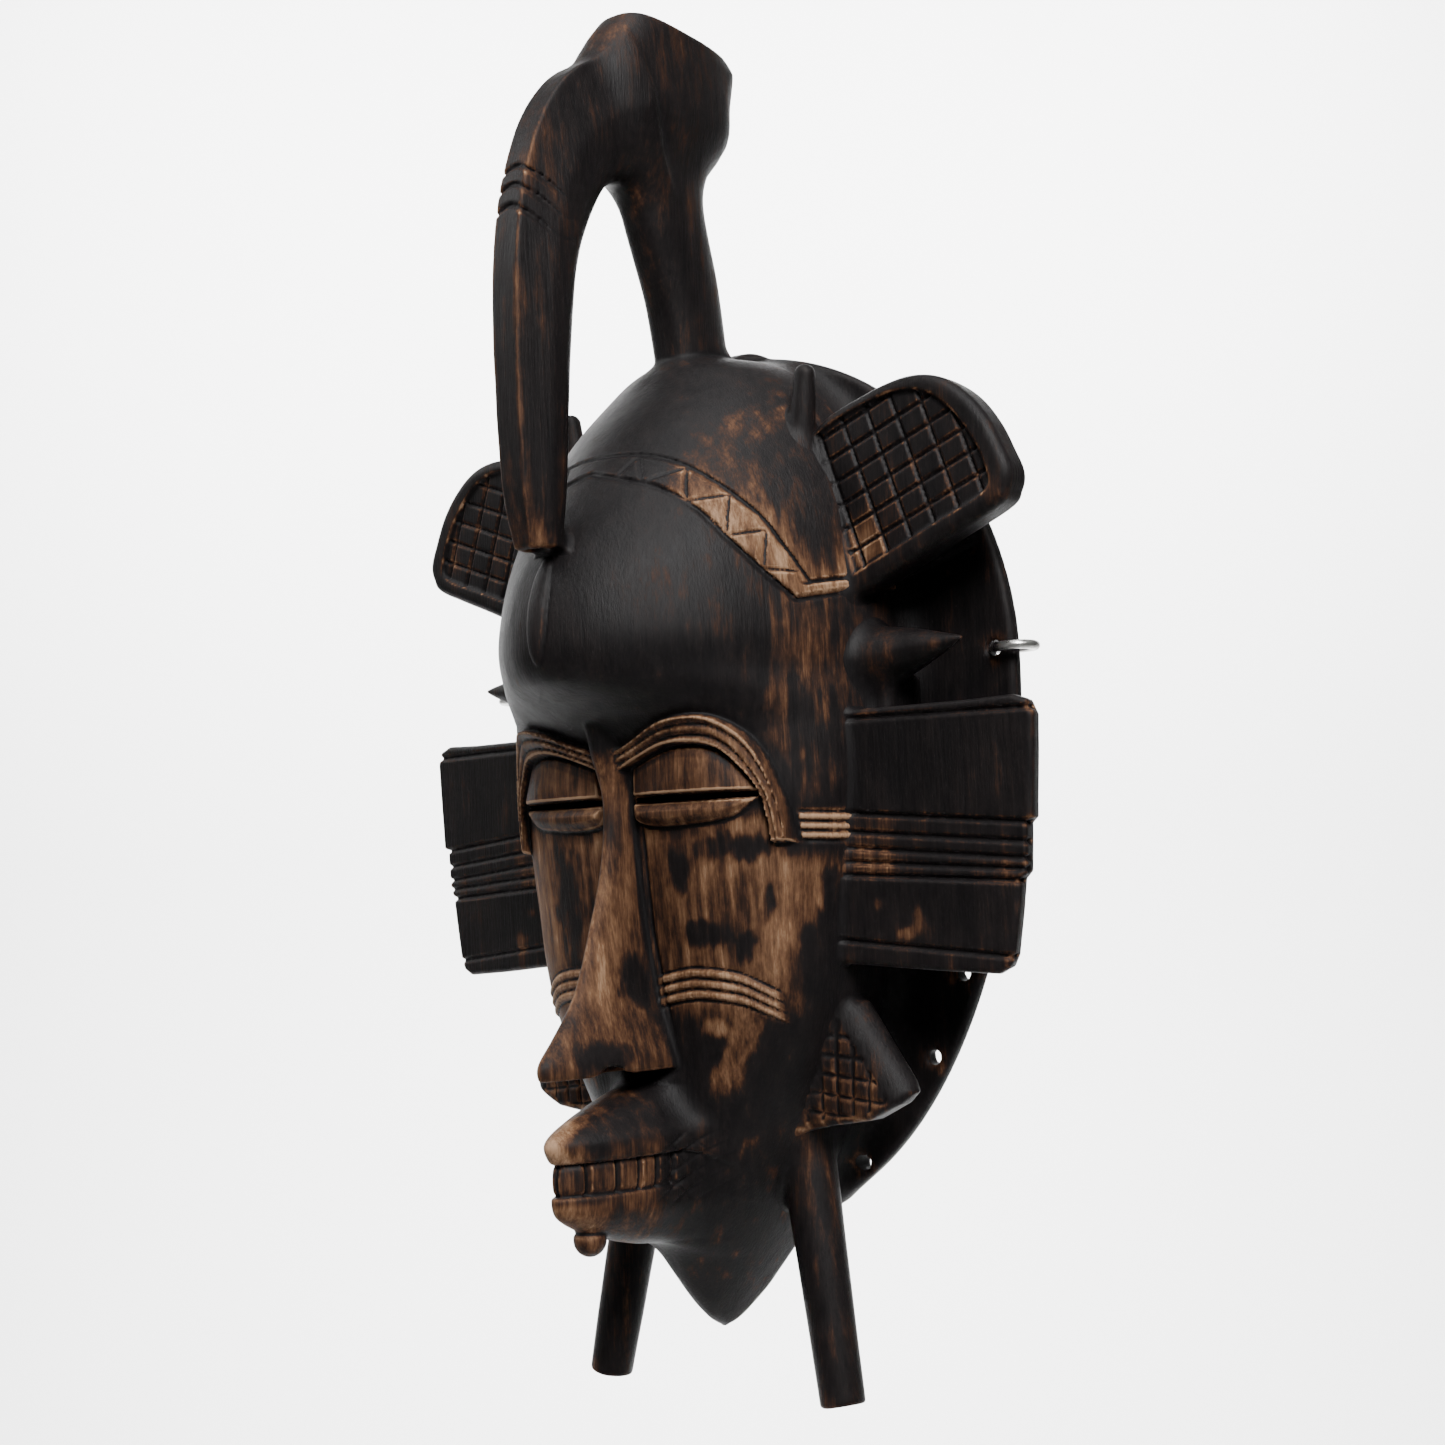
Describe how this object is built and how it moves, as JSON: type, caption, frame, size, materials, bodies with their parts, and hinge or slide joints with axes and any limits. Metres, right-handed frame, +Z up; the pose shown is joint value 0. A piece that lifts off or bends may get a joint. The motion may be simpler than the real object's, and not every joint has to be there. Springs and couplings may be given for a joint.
{
  "type": "carved wall mask",
  "caption": "Carved wooden face mask with a long-beaked bird crest, side panels, ear lobes, two legs and small hanging rings.",
  "frame": {"origin": "on the flat back, in the middle plane, near the top of the raised land round the hollow, where the mask is held to a wall", "axes": "+Z up, +Y out of the back into the wall, so the face looks along -Y; +X is the side of the carving that is on the right when it is looked at from the front"},
  "size_m": [0.2172, 0.1054, 0.3928],
  "materials": {
    "stained_wood": "black-brown stain with a dull wax sheen, worn to brown at edges",
    "worn_wood": "bare brown wood, rubbed, with dark stain left in the cuts",
    "ring_steel": "plain steel wire, slightly dull"
  },
  "bodies": {
    "carving": {"back_flange": "stained_wood", "forehead_dome": "stained_wood", "face_shell": "worn_wood", "nose": "worn_wood", "upper_lip": "worn_wood", "teeth": "worn_wood", "lower_lip": "worn_wood", "lip_plug": "worn_wood", "right_upper_eyelid": "worn_wood", "left_upper_eyelid": "worn_wood", "right_lower_eyelid": "worn_wood", "left_lower_eyelid": "worn_wood", "right_brow": "worn_wood", "left_brow": "worn_wood", "crest_neck": "stained_wood", "bird_head": "stained_wood", "beak": "stained_wood", "right_horn_peg": "stained_wood", "left_horn_peg": "stained_wood", "right_ear_lobe": "stained_wood", "left_ear_lobe": "stained_wood", "right_spike": "stained_wood", "left_spike": "stained_wood", "right_side_panel": "stained_wood", "left_side_panel": "stained_wood", "right_cheek_flap": "stained_wood", "left_cheek_flap": "stained_wood", "right_leg": "stained_wood", "left_leg": "stained_wood"},
    "right_ring_body": {"right_ring": "ring_steel"},
    "left_ring_body": {"left_ring": "ring_steel"}
  },
  "joints": [
    {"name": "right_ring_swing", "type": "hinge", "parent": "carving", "child": "right_ring_body", "pos_m": [0.08695, -0.0075, -0.08], "axis": [0, -1, 0], "range_deg": [-35, 35]},
    {"name": "left_ring_swing", "type": "hinge", "parent": "carving", "child": "left_ring_body", "pos_m": [-0.08695, -0.0075, -0.08], "axis": [0, 1, 0], "range_deg": [-35, 35]}
  ]
}
